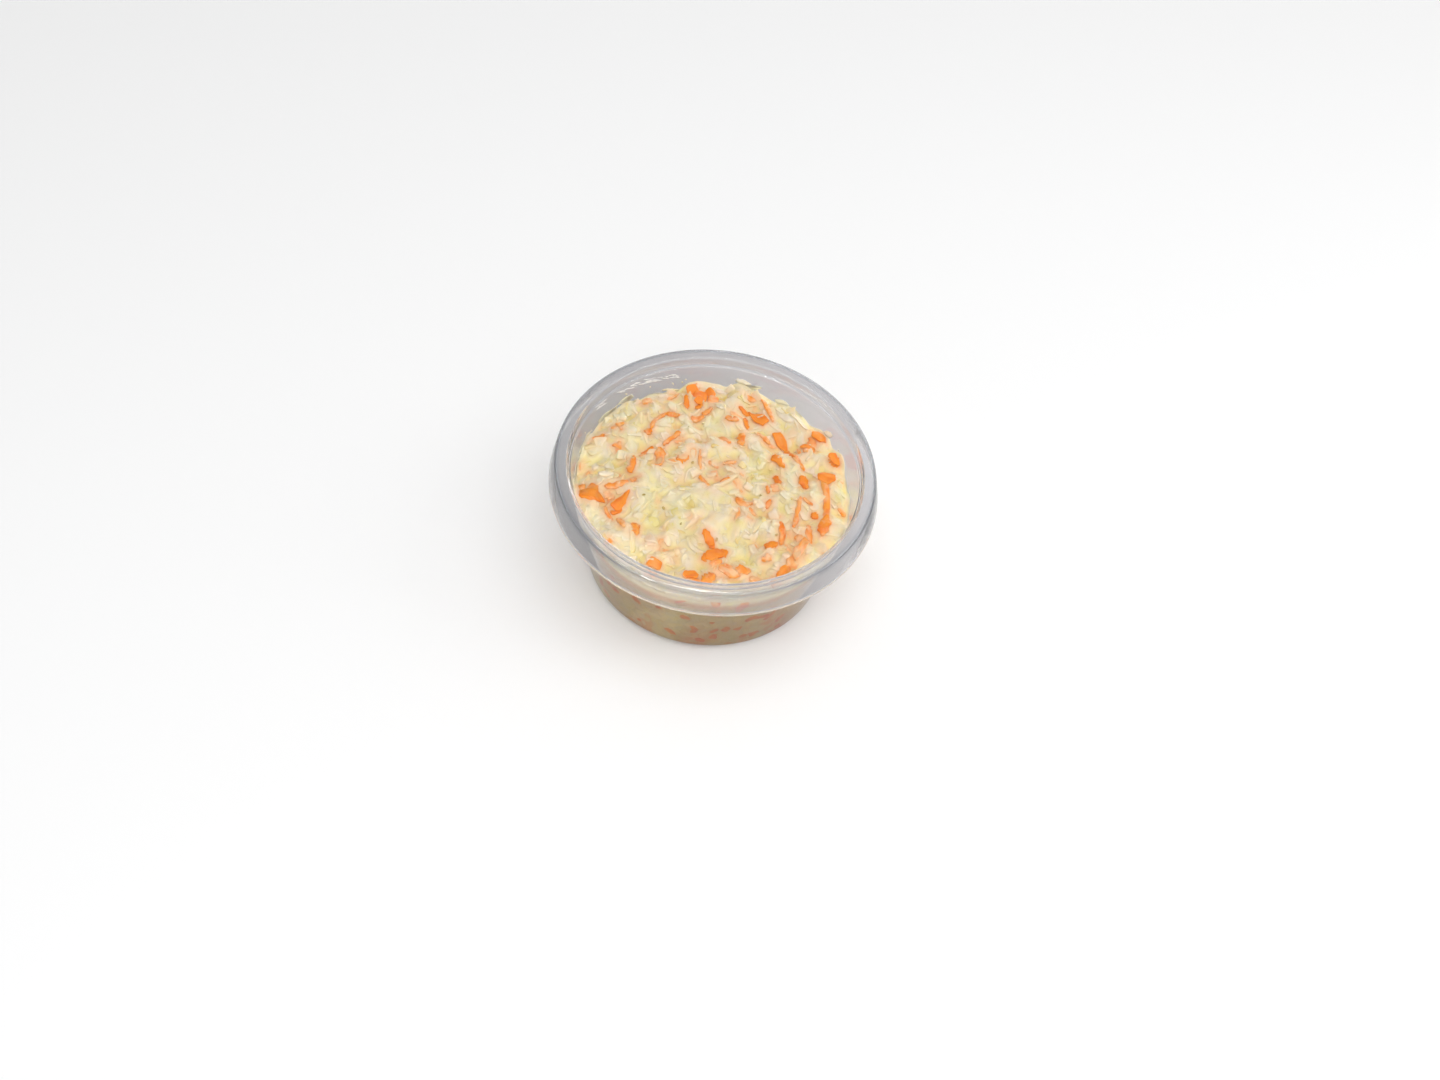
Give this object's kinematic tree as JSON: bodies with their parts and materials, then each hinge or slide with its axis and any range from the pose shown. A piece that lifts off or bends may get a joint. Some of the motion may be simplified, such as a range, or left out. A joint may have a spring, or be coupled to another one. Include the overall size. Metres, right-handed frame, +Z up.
{
  "type": "cup of coleslaw",
  "caption": "Open round clear plastic deli cup filled with creamy, finely chopped cabbage and carrot coleslaw, gently heaped and about a centimetre below the rim.",
  "frame": {"origin": "middle of the cup's flat base, on the surface it stands on", "axes": "+Z up along the cup's axis of revolution; -Y is the side towards the viewer of the picture; the coleslaw lies slightly lower on the +X side"},
  "size_m": [0.117, 0.117, 0.0506],
  "materials": {
    "clear_plastic": "clear, glossy, thin moulded sheet",
    "coleslaw": "moist chopped cabbage under a thin, glossy cream dressing",
    "cabbage": "ivory to pale yellow, moist",
    "green_cabbage": "pale yellow green, moist",
    "carrot": "orange, moist, partly coated with dressing"
  },
  "bodies": {
    "root": {"cup": "clear_plastic", "coleslaw": "coleslaw"}
  },
  "joints": []
}
